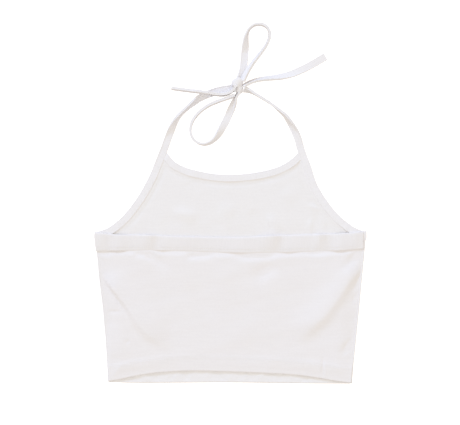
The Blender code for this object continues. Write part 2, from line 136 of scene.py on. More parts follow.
def foldField(x, y, folds):
    # every fold is a line with a height, a width on its left and right and how far it fades in and out:
    # height * fade(along) * exp(-(distance / width)^2), the width growing along the line by its spread;
    # nothing is added past three widths
    total = np.zeros_like(x)
    for height, left, right, spread, fadeIn, fadeOut, line in folds:
        path = smoothLine(line, 50) if len(line) > 2 else evenly(np.array(line, float), 50)
        reachMost = 3.0 * max(left, right) * max(spread, 1.0)
        near = (x > path[:, 0].min() - reachMost) & (x < path[:, 0].max() + reachMost)
        near &= (y > path[:, 1].min() - reachMost) & (y < path[:, 1].max() + reachMost)
        px = x[near]
        py = y[near]
        if px.size == 0:
            continue
        gap = np.hypot(px[:, None] - path[:, 0], py[:, None] - path[:, 1])
        index = np.argmin(gap, axis=1)
        distance = np.take_along_axis(gap, index[:, None], axis=1)[:, 0]
        run = np.gradient(path, axis=0)[index]
        side = run[:, 0] * (py - path[index, 1]) - run[:, 1] * (px - path[index, 0])
        t = index / (len(path) - 1)
        width = np.where(side > 0, left, right) * (1.0 + (spread - 1.0) * t)
        fade = ramp(t, -0.001, max(fadeIn, 0.001)) * (1.0 - ramp(t, 1.0 - fadeOut, 1.001))
        total[near] += height * fade * np.exp(-((distance / width) ** 2))
    return total


# Meshes

def makePiece(name, points, quads, cloth, material, node, extra=()):
    # one object at the origin; the attribute "cloth" holds the cloth's own millimetres across and along
    mesh = bpy.data.meshes.new(name)
    mesh.from_pydata((points * mm).tolist(), [], quads.tolist() + list(extra))
    mesh.attributes.new("cloth", "FLOAT_VECTOR", "POINT").data.foreach_set("vector", cloth.astype(np.float32).ravel())
    mesh.materials.append(material)
    mesh.shade_smooth()
    mesh.validate()
    piece = bpy.data.objects.new(name, mesh)
    scene.collection.objects.link(piece)
    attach(piece, "root")
    if node:
        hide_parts(node)
    return piece


def gridQuads(rows, columns, offset, flip):
    # the cells of a grid of points counted row by row from the offset
    a = offset + np.arange(rows - 1)[:, None] * columns + np.arange(columns - 1)[None, :]
    quads = np.stack([a, a + 1, a + columns + 1, a + columns], axis=-1).reshape(-1, 4)
    return quads[:, ::-1] if flip else quads


def tubeQuads(rings, sides):
    # the faces between neighbouring rings of points
    start = np.arange(rings - 1)[:, None] * sides
    a = start + np.arange(sides)
    b = start + np.roll(np.arange(sides), -1)
    return np.stack([a, a + sides, b + sides, b], axis=-1).reshape(-1, 4)


rimReach = 0.45  # how far the round rim of a cloth stands out, in walls
flatten = np.array([1.0, 1.0, 0.0])


def clothShell(name, middle, wall, cloth, material, node):
    # thin closed cloth: the grid moved half a wall each way along its normals, with a round rim
    acrossRun = np.gradient(middle, axis=1)
    alongRun = np.gradient(middle, axis=0)
    normal = unit(np.cross(acrossRun, alongRun))
    rows, columns = middle.shape[:2]
    count = rows * columns
    upper = middle + normal * wall[..., None] / 2
    lower = middle - normal * wall[..., None] / 2
    index = np.arange(count).reshape(rows, columns)
    loop = np.concatenate([index[0, :-1], index[:-1, -1], index[-1, :0:-1], index[:0:-1, 0]])
    flat = middle.reshape(-1, 3)
    out = np.zeros_like(middle)
    out[0] -= alongRun[0]
    out[-1] += alongRun[-1]
    out[:, 0] -= acrossRun[:, 0]
    out[:, -1] += acrossRun[:, -1]
    out = unit(out.reshape(-1, 3)[loop])
    rim = flat[loop] + out * wall.reshape(-1)[loop, None] * rimReach
    points = np.concatenate([upper.reshape(-1, 3), lower.reshape(-1, 3), rim])
    after = np.roll(loop, -1)
    rimIndex = 2 * count + np.arange(len(loop))
    rimAfter = np.roll(rimIndex, -1)
    quads = np.concatenate([
        gridQuads(rows, columns, 0, False), gridQuads(rows, columns, count, True),
        np.stack([loop, rimIndex, rimAfter, after], axis=1),
        np.stack([rimIndex, loop + count, after + count, rimAfter], axis=1),
    ])
    cloth = cloth.reshape(-1, 3)
    return makePiece(name, points, quads, np.concatenate([cloth, cloth, cloth[loop]]), material, node)


foldForm = [  # distance inside a long edge of a strip, height in half walls: a round fold beside its stitching
    (3.4, 1), (2.5, 0.98), (1.85, 0.86), (1.3, 1), (0.75, 1.02), (0.35, 0.84), (0.12, 0.6), (0.03, 0.36),
    (0, 0.16), (0, 0),
]
lipsForm = [  # the same for an open edge: two lips that spread, with a shallow groove between them
    (3.4, 1), (2.6, 1.03), (1.9, 1.14), (1.35, 1.34), (0.85, 1.52), (0.4, 1.5), (0.08, 1.18), (0, 0.8),
    (0.08, 0.36), (0.42, 0),
]


strip = {"rollDrift": 1.5, "swell": 0.05, "spread": 0.012, "change": (0.40, 0.52), "ground": 0.05,
         "capShare": 0.97, "capReach": 0.35, "capStep": 0.5}


def stripSection(width, wall, openLeft, openRight):
    # closed outline of a folded strip, across to the left of its run and up; each long edge passes from the
    # fold (0) to the lips (1)
    half = width / 2
    size = np.array([1.0, wall / 2])
    fold = np.array(foldForm) * size
    lips = np.array(lipsForm) * size
    right = fold * (1.0 - openRight) + lips * openRight
    left = fold * (1.0 - openLeft) + lips * openLeft
    left[:, 0] = half - left[:, 0]
    right[:, 0] = right[:, 0] - half
    top = np.concatenate([right[::-1], left])
    return np.concatenate([top, top[-2:0:-1] * [1.0, -1.0]])


def stripFrame(route, width, wall):
    # centre, direction across and direction of the upper face at each row of x, y, lift, roll, cup:
    # centre height = lift + the half extent of the rolled strip
    roll = np.radians(route[:, 3])
    rest = width / 2 * np.abs(np.sin(roll)) + wall / 2 * np.abs(np.cos(roll))
    centre = np.column_stack([route[:, :2], route[:, 2] + rest])
    run = unit(np.gradient(centre, axis=0))
    level = unit(np.column_stack([-run[:, 1], run[:, 0], np.zeros(len(run))]))
    above = np.cross(run, level)
    side = np.cos(roll)[:, None] * level + np.sin(roll)[:, None] * above
    face = np.cos(roll)[:, None] * above - np.sin(roll)[:, None] * level
    return centre, side, face


def stripDip(across, width, cup):
    # how far the cupped strip lies under its chord: cup * (1 - (across / half width)^2)
    return cup * np.maximum(1.0 - (2.0 * across / width) ** 2, 0.0)


def carryStrip(name, route, sections, material, node, width, wall, seed):
    # the section carried along the route, passing from its first form to its last near the middle, a
    # little uneven
    along = travel(route)
    route = route.copy()
    route[:, 3] += strip["rollDrift"] * drift(along, 31.0, seed)
    centre, side, face = stripFrame(route, width, wall)
    change = ramp(along / along[-1], *strip["change"])[:, None, None]
    section = sections[0] * (1.0 - change) + sections[-1] * change
    swell = 1.0 + strip["swell"] * drift(along, 23.0, seed + 1.0)
    spread = 1.0 + strip["spread"] * drift(along, 17.0, seed + 2.0)
    across = section[..., 0] * spread[:, None]
    up = section[..., 1] * swell[:, None] - stripDip(section[..., 0], width, route[:, 4, None])
    rings = centre[:, None] + across[..., None] * side[:, None] + up[..., None] * face[:, None]
    rings[..., 2] = np.maximum(rings[..., 2], strip["ground"])
    return closeTube(name, rings, sections[0], along, material, node)


def closeTube(name, rings, section, along, material, node):
    # rings joined into one closed body, each end drawn in a little before its cap
    count, sides = rings.shape[:2]
    middles = rings[[0, 1, -2, -1]].mean(1)
    share = strip["capShare"]
    out = strip["capReach"]
    first = middles[0] + share * (rings[0] - middles[0]) - out * unit(middles[1] - middles[0])
    last = middles[3] + share * (rings[-1] - middles[3]) + out * unit(middles[3] - middles[2])
    rings = np.concatenate([first[None], rings, last[None]])
    along = np.concatenate([along[:1] - strip["capStep"], along, along[-1:] + strip["capStep"]])
    count += 2
    quads = tubeQuads(count, sides)
    caps = [list(range(sides)), list(range((count - 1) * sides, count * sides))[::-1]]
    reach = travel(section)
    cloth = np.zeros((count, sides, 3))
    cloth[..., 0] = reach
    cloth[..., 1] = along[:, None]
    points = rings.reshape(-1, 3)
    if signedVolume(points, quads) < 0:
        quads = quads[:, ::-1]
        caps = [cap[::-1] for cap in caps]
    return makePiece(name, points, quads, cloth.reshape(-1, 3), material, node, caps)


def signedVolume(points, quads):
    # sum over the faces of the box product of three corners; negative when the faces look inwards
    a, b, c, d = (points[quads[:, i]] for i in range(4))
    return float((a * np.cross(b, c)).sum() + (a * np.cross(c, d)).sum())


spindle = np.array([0.55, 0.95, 1.05, 0.95, 0.55])  # girth along a stitch, in half threads
spindleSides = 6


def sewRow(name, line, material, stitch, gap, thread):
    # a row of stitches on a line of x, y, z: each one a small spindle that dips at both ends, its height
    # thread * (0.9 * sin(pi * share of its length) - 0.35)
    line = np.asarray(line, float)
    along = np.concatenate([[0.0], np.cumsum(np.linalg.norm(np.diff(line, axis=0), axis=1))])
    number = int(along[-1] // (stitch + gap))
    starts = np.arange(number) * (stitch + gap)
    t = np.linspace(0.0, 1.0, len(spindle))
    places = starts[:, None] + t[None, :] * stitch
    middle = np.stack([np.interp(places, along, line[:, k]) for k in range(3)], axis=-1)
    middle[..., 2] += thread * (np.sin(np.pi * t) * 0.9 - 0.35)[None, :]
    run = unit(np.gradient(middle, axis=1))
    level = unit(np.stack([-run[..., 1], run[..., 0], np.zeros(run.shape[:2])], axis=-1))
    above = np.cross(run, level)
    turn = np.linspace(0.0, 2 * np.pi, spindleSides + 1)[:-1]
    girth = thread / 2 * spindle
    rings = middle[:, :, None] + girth[None, :, None, None] * (
        np.cos(turn)[None, None, :, None] * level[:, :, None] + np.sin(turn)[None, None, :, None] * above[:, :, None])
    points = rings.reshape(-1, 3)
    each = len(spindle) * spindleSides
    shift = each * np.arange(number)[:, None]
    quads = (tubeQuads(len(spindle), spindleSides)[None] + shift[..., None]).reshape(-1, 4)
    cap = np.arange(spindleSides)[None]
    caps = np.concatenate([cap + shift, each - 1 - cap + shift])
    if signedVolume(points, quads) < 0:
        quads = quads[:, ::-1]
        caps = caps[:, ::-1]
    cloth = np.zeros_like(points)
    cloth[:, 1] = np.repeat(places.reshape(-1), spindleSides)
    return makePiece(name, points, quads, cloth, material, None, caps.tolist())


# Materials

knitForm = {"course": 0.78, "slant": 0.55, "ridge": 0.7, "loop": 0.22, "streakTurn": 0.07, "streakLong": 0.035,
            "streakWide": 0.42}
noises = {"fuzz": (1.7, 3.0), "streak": (1.0, 4.0), "patch": (0.35, 4.0)}  # scale, detail


def knitGroup():
    # height and tone of a fine single jersey from the cloth's own millimetres: wales side by side, each
    # crossed by slanted stitches, over a fuzz of short fibres and slow streaks along the courses
    group = bpy.data.node_groups.new("jersey knit", "ShaderNodeTree")
    for label, kind in (("Vector", "NodeSocketVector"), ("Wale", "NodeSocketFloat"), ("Fuzz", "NodeSocketFloat")):
        group.interface.new_socket(label, in_out="INPUT", socket_type=kind)
    for label in ("Height", "Tone"):
        group.interface.new_socket(label, in_out="OUTPUT", socket_type="NodeSocketFloat")
    nodes = group.nodes
    link = group.links.new
    given = nodes.new("NodeGroupInput")
    result = nodes.new("NodeGroupOutput")
    split = nodes.new("ShaderNodeSeparateXYZ")
    link(given.outputs["Vector"], split.inputs[0])

    def maths(kind, first, second=None):
        node = nodes.new("ShaderNodeMath")
        node.operation = kind
        for socket, value in zip(node.inputs, (first, second)):
            if value is None:
                continue
            if isinstance(value, (int, float)):
                socket.default_value = value
            else:
                link(value, socket)
        return node.outputs[0]

    def noise(kind, place):
        node = nodes.new("ShaderNodeTexNoise")
        node.inputs["Scale"].default_value, node.inputs["Detail"].default_value = noises[kind]
        link(place, node.inputs["Vector"])
        return node.outputs["Fac"]

    wales = maths("DIVIDE", split.outputs["X"], given.outputs["Wale"])
    courses = maths("DIVIDE", split.outputs["Y"], maths("MULTIPLY", given.outputs["Wale"], knitForm["course"]))
    ridge = maths("ABSOLUTE", maths("SINE", maths("MULTIPLY", wales, 3.1416)))
    slant = maths("ADD", courses, maths("MULTIPLY", ridge, knitForm["slant"]))
    loop = maths("SINE", maths("MULTIPLY", slant, 6.2832))
    knit = maths("ADD", maths("MULTIPLY", ridge, knitForm["ridge"]), maths("MULTIPLY", loop, knitForm["loop"]))
    fuzz = noise("fuzz", given.outputs["Vector"])
    fibres = maths("MULTIPLY", maths("SUBTRACT", fuzz, 0.5), given.outputs["Fuzz"])
    link(maths("ADD", knit, fibres), result.inputs["Height"])
    squeeze = nodes.new("ShaderNodeMapping")
    squeeze.inputs["Rotation"].default_value = (0.0, 0.0, knitForm["streakTurn"])
    squeeze.inputs["Scale"].default_value = (knitForm["streakLong"], knitForm["streakWide"], 1.0)
    link(given.outputs["Vector"], squeeze.inputs["Vector"])
    streak = noise("streak", squeeze.outputs[0])
    patch = noise("patch", given.outputs["Vector"])
    link(maths("ADD", maths("MULTIPLY", streak, 0.5), maths("MULTIPLY", patch, 0.5)), result.inputs["Tone"])
    return group


surface = {"dark": 0.33, "light": 0.67, "bumpDepth": 0.00022, "specular": 0.25, "sheenRoughness": 0.5}


def jersey(name, look):
    # white cotton jersey: faint streaks and patches in its colour, knit in its bump, soft sheen
    material = bpy.data.materials.new(name)
    material.use_nodes = True
    nodes = material.node_tree.nodes
    link = material.node_tree.links.new
    shader = nodes["Principled BSDF"]
    place = nodes.new("ShaderNodeAttribute")
    place.attribute_name = "cloth"
    knit = nodes.new("ShaderNodeGroup")
    knit.node_tree = knitTree
    knit.inputs["Wale"].default_value = look["wale"]
    knit.inputs["Fuzz"].default_value = look["fuzz"]
    link(place.outputs["Vector"], knit.inputs["Vector"])
    shade = nodes.new("ShaderNodeValToRGB")
    for stop, key in zip(shade.color_ramp.elements, ("dark", "light")):
        stop.position = surface[key]
        stop.color = (*look[key], 1.0)
    link(knit.outputs["Tone"], shade.inputs["Fac"])
    link(shade.outputs["Color"], shader.inputs["Base Color"])
    bump = nodes.new("ShaderNodeBump")
    bump.inputs["Strength"].default_value = look["bump"]
    bump.inputs["Distance"].default_value = surface["bumpDepth"]
    link(knit.outputs["Height"], bump.inputs["Height"])
    link(bump.outputs["Normal"], shader.inputs["Normal"])
    shader.inputs["Roughness"].default_value = look["roughness"]
    shader.inputs["Specular IOR Level"].default_value = surface["specular"]
    shader.inputs["Sheen Weight"].default_value = look["sheen"]
    shader.inputs["Sheen Roughness"].default_value = surface["sheenRoughness"]
    return material


knitTree = knitGroup()
lookKeys = ("wale", "fuzz", "bump", "roughness", "sheen", "dark", "light")
looks = {
    "back": (0.9, 1.2, 0.35, 0.9, 0.08, (0.930, 0.902, 0.908), (0.960, 0.934, 0.940)),
    "front": (0.9, 1.5, 0.30, 0.92, 0.08, (0.935, 0.916, 0.920), (0.965, 0.948, 0.953)),
    "band": (0.85, 1.2, 0.30, 0.9, 0.08, (0.918, 0.892, 0.896), (0.948, 0.924, 0.928)),
    "tie": (0.85, 1.0, 0.15, 0.88, 0.1, (0.935, 0.916, 0.930), (0.965, 0.948, 0.962)),
    "thread": (0.5, 0.3, 0.2, 0.55, 0.05, (0.95, 0.94, 0.94), (0.97, 0.96, 0.96)),
}
cloths = {key: jersey(key + " cloth", dict(zip(lookKeys, look))) for key, look in looks.items()}
print("cloth materials ready")


# Cut of the garment, as in the solids

armholeRows = [  # y, left x, right x of the outer edges
    (79, -97.2, 102.6), (67, -102, 106.6), (53.9, -107.2, 111.6), (42.7, -111.7, 115.4),
    (31.5, -117, 118.9), (20.3, -122.9, 124.2), (9.1, -129.8, 131), (-2.1, -137.5, 138.9),
    (-13.3, -146.4, 148), (-24.5, -157.6, 160), (-35.3, -173, 176), (-40.6, -188, 190),
]
sideRows = [  # y, left x, right x of the side seams
    (-40, -189.4, 189.4), (-47, -190, 189.3), (-58, -188.7, 188.4), (-80.5, -186.3, 186.3),
    (-103, -184.5, 184.1), (-148, -178.9, 180), (-193, -175, 175.4), (-237, -172.1, 171),
    (-252, -171.4, 170),
]
neckRows = [  # x, y of the neckline's upper edge
    (-90.5, 72), (-75.7, 56.1), (-64.5, 50.5), (-42.1, 44.2), (-19.7, 40.5), (2.7, 39.8), (25.1, 41.4),
    (47.5, 45.2), (69.9, 52.1), (81.1, 58.5), (96.4, 72),
]
bandRows = [  # x, y of the band's upper edge, y of its stitching
    (-189.8, -40.3, -64.3), (-165, -43.4, -63.9), (-122, -44.1, -63.4), (-72, -46.3, -64),
    (-22, -47.3, -65.8), (16, -47.3, -66.8), (53, -45.4, -66.8), (103, -44.1, -65.2),
    (153, -42.3, -63.4), (184.7, -39.8, -61.2),
]
backHemRows = [  # x, y of the back's lower edge
    (-171.4, -248.2), (-158, -246.2), (-135.5, -241.4), (-113, -237.6), (-82.5, -234.9), (-52, -233.9),
    (-8, -234.9), (45, -236.9), (99, -240.5), (129, -244.9), (144, -247.6), (169, -251.2),
]
frontHemRows = [  # x, y of the front's lower edge
    (-171.4, -249.8), (-150, -250.6), (-60, -250.6), (-15, -250.3), (60, -251.1), (95, -251.7),
    (150, -252), (170, -252),
]
cut = {"wall": 1.0, "hemWall": 1.8, "hemDepth": 22.0, "strip": 10.6, "stripWall": 2.5, "neckStrip": 9.9}
sewing = {"stitch": 2.1, "gap": 0.6, "thread": 0.5}
twinRows = (2.0, 4.7)  # the hem's two rows of stitches, below its upper edge

armholes = np.array(armholeRows)[::-1]
leftEdge = smoothLine(armholes[:, [1, 0]], 400)
rightEdge = smoothLine(armholes[:, [2, 0]], 400)
neckLine = smoothLine(neckRows, 500)
bandLine = smoothLine(bandRows, 400)
backHemLine = smoothLine(backHemRows, 300)
frontHemLine = smoothLine(frontHemRows, 100)


def sideAt(y, side):
    # x of the left (0) or right (1) side seam at a height
    table = np.array(sideRows)[::-1]
    return np.interp(y, table[:, 0], table[:, 1 + side])


def hemAt(line, x):
    # y of a hem's edge at x
    return np.interp(x, line[:, 0], line[:, 1])


# Front

front = {"columns": 170, "rollRadius": 0.95, "rollSteps": 7, "lapLeft": 0.3, "lapRight": 0.6, "tuck": 3.0,
         "seamTop": -48.0, "liftTop": -26.0, "foldScale": 2.2, "ground": 0.03}
frontFolds = [  # height, left width, right width, spread, fade in, fade out, line of x, y
    (0.8, 7, 8, 1.2, 0.4, 0.4, [(-84, -13), (-62, -16), (-42, -22)]),
    (-0.6, 5, 5, 1, 0.4, 0.4, [(-30, -30), (-8, -34)]),
    (-0.9, 6, 8, 1.3, 0.4, 0.2, [(28, -8), (40, -24), (54, -44)]),
    (0.7, 6, 7, 1.2, 0.4, 0.2, [(50, -14), (62, -30), (68, -44)]),
    (-0.35, 2.4, 3.2, 1.2, 0.3, 0.4, [(-64, 22), (-52, 28), (-42, 32)]),
    (-0.3, 2.4, 3, 1.2, 0.3, 0.4, [(-54, 18), (-40, 24)]),
    (-0.8, 1.8, 3.4, 1.6, 0, 0.7, [(127, -5), (118, -1), (106, 4.5)]),
    (0.5, 3, 3, 1.5, 0.1, 0.7, [(125, -9), (114, -5), (104, 0)]),
    (-0.6, 3.2, 4.5, 1.1, 0.5, 0.1, [(119, -12), (121, -28), (121, -44)]),
    (0.6, 4, 4, 1.1, 0.5, 0.1, [(111, -20), (112, -44)]),
    (-0.5, 3.2, 4, 1.1, 0.5, 0.1, [(138, -26), (136, -44)]),
    (0.5, 9, 10, 1.2, 0.4, 0.4, [(-20, -6), (10, -14)]),
    (-0.4, 9, 9, 1.2, 0.4, 0.4, [(-100, -26), (-66, -32)]),
    (0.4, 8, 10, 1.2, 0.4, 0.5, [(70, 20), (96, 2)]),
]


def frontRise(x, y, toBinding):
    # height of the front's underside: flat on the ground, lifted by folds above the band, and at the
    # bindings up to the middle of their fold
    upper = ramp(y, front["seamTop"], front["liftTop"])
    slow = 0.6 + 0.35 * drift(x + 0.4 * y, 74.0, 1.7)
    inner = ramp(toBinding, 2.0, 14.0)
    seam = (cut["stripWall"] - cut["wall"]) / 2 * (1.0 - ramp(toBinding, 3.5, 9.0))
    folds = softFloor(front["foldScale"] * foldField(x, y, frontFolds) + slow, 0.3)
    return upper * (folds * (0.25 + 0.75 * inner) * inner + seam)


def frontWall(x, y):
    # doubled at the turned-up hem, whose inner layer puckers between its stitches and the edge
    rise = y - hemAt(frontHemLine, x)
    hem = 1.0 - ramp(rise, cut["hemDepth"] - 0.4, cut["hemDepth"] + 0.6)
    pucker = 0.45 * drift(x + 0.5 * rise, 41.0, 0.6) + 0.2 * drift(x - 0.7 * rise, 19.0, 2.2) - 0.2
    pucker = pucker * ramp(rise, 0.0, 5.0) * hem
    return cut["wall"] + (cut["hemWall"] - cut["wall"]) * hem + pucker


def makeFront():
    # grid between the hem and the upper edge, which runs round armholes and neckline a little inside the
    # bindings; each row is drawn out to both side seams
    inset = cut["strip"] - front["tuck"]
    left = beside(leftEdge, -inset)
    right = beside(rightEdge, inset)
    neck = beside(neckLine, -(cut["neckStrip"] - front["tuck"]))
    start = nearest(neck, left)
    end = nearest(neck, right)
    left = left[: nearest(left, neck[start][None])]
    right = right[: nearest(right, neck[end][None])][::-1]
    seams = np.array([[sideAt(front["seamTop"], side), front["seamTop"]] for side in (0, 1)])
    edge = np.concatenate([seams[:1], left, neck[start : end + 1], right, seams[1:]])
    top = evenly(edge, front["columns"])
    share = np.linspace(0.0, 1.0, len(top))
    across = (top[:, 0] - top[0, 0]) / (top[-1, 0] - top[0, 0])
    footX = frontHemRows[0][0] + (frontHemRows[-1][0] - frontHemRows[0][0]) * (share + across) / 2
    footY = hemAt(frontHemLine, footX)
    parts = np.concatenate([np.linspace(0.0, 0.12, 24), np.linspace(0.14, 0.62, 22), np.linspace(0.635, 1.0, 62)])
    y = footY + parts[:, None] * (top[:, 1] - footY)
    x = footX + parts[:, None] * (top[:, 0] - footX)
    radius = front["rollRadius"]
    half = cut["wall"] / 2
    pull = sideAt(y[:, :1], 0) + half + radius - x[:, :1]
    push = sideAt(y[:, -1:], 1) - half - radius - x[:, -1:]
    x = x + (1 - across) * pull + across * push
    wall = frontWall(x, y)
    toBinding = np.min(np.hypot(x[..., None] - x[-1], y[..., None] - y[-1]), axis=-1)
    low = frontRise(x, y, toBinding)
    middle = np.stack([x, y, low + wall / 2 + front["ground"]], axis=-1)
    middle, wall = rollEdges(middle, wall, radius)
    return clothShell("frontPanel", middle, wall, middle * flatten, cloths["front"], "front_panel")


def rollEdges(middle, wall, radius):
    # the cloth turned up and over at both side seams: a half turn of the radius, then a short lap inwards
    turn = np.linspace(0.0, np.pi, front["rollSteps"])[1:]
    low = cut["wall"] / 2 + front["ground"]
    leftX = middle[:, :1, 0]
    rightX = middle[:, -1:, 0]
    y = np.repeat(middle[:, :1, 1], len(turn) + 1, axis=1)
    yRight = np.repeat(middle[:, -1:, 1], len(turn) + 1, axis=1)
    out = np.append(np.sin(turn), 0.0) * radius
    up = np.append(1.0 - np.cos(turn), 2.0) * radius
    lapLeft = np.append(np.zeros(len(turn)), front["lapLeft"])
    lapRight = np.append(np.zeros(len(turn)), front["lapRight"])
    left = np.stack([leftX - out + lapLeft, y, np.broadcast_to(low + up, y.shape)], axis=-1)[:, ::-1]
    right = np.stack([rightX + out - lapRight, yRight, np.broadcast_to(low + up, y.shape)], axis=-1)
    middle = middle.copy()
    middle[:, 0, 2] = low
    middle[:, -1, 2] = low
    wall = wall.copy()
    wall[:, [0, -1]] = cut["wall"]
    thin = np.full(left.shape[:2], cut["wall"])
    return np.concatenate([left, middle, right], axis=1), np.concatenate([thin, wall, thin], axis=1)


frontPanel = makeFront()
print("front made")


# Back

back = {"columns": 300, "rows": 150, "edgeLeft": 1.6, "edgeRight": 1.8, "loft": 2.0, "margin": 24.0,
        "lieUnder": 1.2, "gap": 0.3, "overHem": 0.8, "hemEnd": (21.0, 36.0), "ownWall": 0.9, "hemStep": 0.6,
        "groove": 0.14, "grooveWide": 0.8, "tuck": (3.0, 12.0), "seamTop": -66.0, "crowd": 0.06}
backFolds = [  # height, left width, right width, spread, fade in, fade out, line of x, y
    (4.3, 19, 5.6, 1.35, 0.20, 0.35, [(-180, -98), (-171, -110), (-157.4, -127), (-141, -149), (-129, -166.4),
                                        (-116.2, -181.5), (-98.3, -193.5), (-79.7, -198.7)]),
    (-2.4, 2.2, 3, 1.5, 0, 0.5, [(-184, -100), (-174.8, -112.8), (-161.5, -130.2), (-145.4, -152.2),
                                     (-133.5, -169.7)]),
    (1.4, 24, 9, 1, 0.5, 0.3, [(-169, -164), (-166, -194), (-162, -226)]),
    (4.2, 8, 17, 1.4, 0.22, 0.3, [(185, -79), (177, -91), (164, -109), (149, -132), (128, -158),
                                      (104, -179), (83, -193)]),
    (-2, 5, 5, 1.6, 0, 0.6, [(187, -64), (173, -76), (160, -90), (149, -104)]),
    (-1.8, 3, 4, 1.4, 0, 0.8, [(182, -103), (176, -113), (168, -127)]),
    (-1.4, 2.4, 3, 1.4, 0, 0.8, [(179, -127), (172, -136), (166, -143)]),
    (-1.2, 2.2, 3, 1.4, 0, 0.8, [(177, -158), (170, -168)]),
    (-1, 2.5, 3, 1.4, 0, 0.8, [(175, -178), (167, -189)]),
    (-2.2, 3, 4.5, 1.6, 0, 0.6, [(174, -191), (163, -203), (152, -218)]),
    (-1, 3, 4, 1.2, 0.1, 0.7, [(-176, -155), (-170, -165), (-164, -174)]),
    (-0.8, 1.6, 3, 1.2, 0.2, 0.5, [(-172, -151), (-150, -151.5)]),
    (-0.7, 2.5, 3, 1.2, 0.2, 0.5, [(-141, -191), (-148, -198)]),
    (-1, 1.8, 2.4, 1, 0.4, 0.3, [(128.5, -212), (129.5, -243)]),
    (-2.4, 3, 3.2, 1.2, 0, 0.6, [(-188, -65.5), (-177, -68), (-165, -74)]),
    (0.6, 4, 5, 1.4, 0, 0.6, [(-186, -72), (-178, -76), (-168, -84)]),
    (-2.4, 2.8, 5.5, 1, 0.3, 0.3, [(-137, -69), (-126, -70.5), (-116, -71.5), (-104, -74)]),
    (-2, 5, 6, 2, 0.1, 0.6, [(-118, -70), (-102, -80), (-82, -98)]),
    (0.4, 5, 7, 1.2, 0.2, 0.4, [(-134, -76), (-120, -80), (-108, -88)]),
    (-2.6, 3, 6.5, 1, 0.35, 0.3, [(-68, -74), (-43, -72), (-20, -69)]),
    (0.3, 4, 6, 1.2, 0.3, 0.3, [(-62, -81), (-40, -79), (-22, -77)]),
    (0.4, 5, 7, 1, 0.3, 0.3, [(-20, -75), (-10, -76), (0, -75)]),
    (-2.8, 3.4, 6.5, 1, 0.3, 0.2, [(-2, -70), (27, -73.5), (52, -72.5), (66, -69)]),
    (0.3, 5, 7, 1, 0.3, 0.4, [(6, -82), (30, -81), (50, -79), (83, -76), (110, -72)]),
    (-2.2, 2.2, 4.6, 1, 0.3, 0.3, [(104, -68), (118, -68.5), (135, -66.5)]),
    (0.3, 4, 6, 1, 0.3, 0.3, [(112, -75), (128, -76), (146, -73)]),
    (-2.2, 9, 11, 1.2, 0.3, 0.5, [(68, -84), (44, -99), (26, -116)]),
    (1.2, 14, 14, 1.2, 0.4, 0.5, [(20, -84), (-6, -104), (-30, -120)]),
    (-1, 12, 12, 1.2, 0.4, 0.5, [(-60, -108), (-40, -140), (-10, -160)]),
    (0.9, 14, 14, 1.2, 0.4, 0.5, [(60, -150), (20, -176), (-30, -190)]),
]


def backTopEdge(x):
    # upper edge of the back, hidden under the band's stitched lip
    return np.interp(x, bandLine[:, 0], bandLine[:, 2]) + 1.0


def backSide(y, side):
    # x of the back's left (0) or right (1) edge, a little inside the side seam
    return sideAt(y, side) + (back["edgeLeft"] if side == 0 else -back["edgeRight"])


def backHeight(x, y):
    # top of the back: front, hem and gap below it, its own wall, loft away from its edges, folds
    rise = y - hemAt(frontHemLine, x)
    under = back["lieUnder"] + back["gap"] + back["overHem"] * (1.0 - ramp(rise, *back["hemEnd"]))
    own = y - hemAt(backHemLine, x)
    hem = 1.0 - ramp(own, cut["hemDepth"] - 5.0, cut["hemDepth"] + 3.0)
    edge = np.minimum(x - backSide(y, 0), backSide(y, 1) - x)
    edge = np.minimum(edge, np.maximum(own, 0.0))
    settle = ramp(edge, -1.0, back["margin"])
    top = backTopEdge(x) - y
    slow = 0.3 * drift(x + 0.3 * y, 92.0, 0.9) + 0.22 * drift(y - 0.25 * x, 61.0, 2.4)
    tuck = ramp(top, *back["tuck"])
    loft = back["loft"] * settle * tuck + slow * settle * ramp(top, 2.0, 40.0)
    folds = foldField(x, y, backFolds) * (0.25 + 0.75 * ramp(edge, 0.0, 5.0)) * tuck
    body = under + back["ownWall"] + softFloor(loft + folds, 0.3)
    grooves = sum(np.exp(-(((own - cut["hemDepth"] + row) / back["grooveWide"]) ** 2)) for row in twinRows)
    return body + back["hemStep"] * hem - back["groove"] * grooves * ramp(edge, 2.0, 8.0)


def backWall(x, y):
    # doubled at the turned-up hem
    own = y - hemAt(backHemLine, x)
    hem = 1.0 - ramp(own, cut["hemDepth"] - 0.5, cut["hemDepth"] + 0.7)
    return cut["wall"] + (cut["hemWall"] - cut["wall"]) * hem


def makeBack():
    # grid between the hem and the edge under the band, each row drawn out to both side edges
    share = np.linspace(0.0, 1.0, back["columns"])
    left, right = (backSide(back["seamTop"], side) for side in (0, 1))
    topX = left + share * (right - left)
    topY = backTopEdge(topX)
    footX = backHemRows[0][0] + share * (backHemRows[-1][0] - backHemRows[0][0])
    footY = hemAt(backHemLine, footX)
    parts = np.linspace(0.0, 1.0, back["rows"])
    parts = parts - back["crowd"] * np.sin(2 * np.pi * parts) / np.pi
    y = footY + parts[:, None] * (topY - footY)
    x = footX + parts[:, None] * (topX - footX)
    pull = backSide(y[:, :1], 0) - x[:, :1]
    push = backSide(y[:, -1:], 1) - x[:, -1:]
    x = x + (1 - share) * pull + share * push
    wall = backWall(x, y)
    middle = np.stack([x, y, backHeight(x, y) - wall / 2], axis=-1)
    return clothShell("backPanel", middle, wall, middle * flatten, cloths["back"], "back_panel")


backPanel = makeBack()
print("back made")


# Elastic band along the back's top

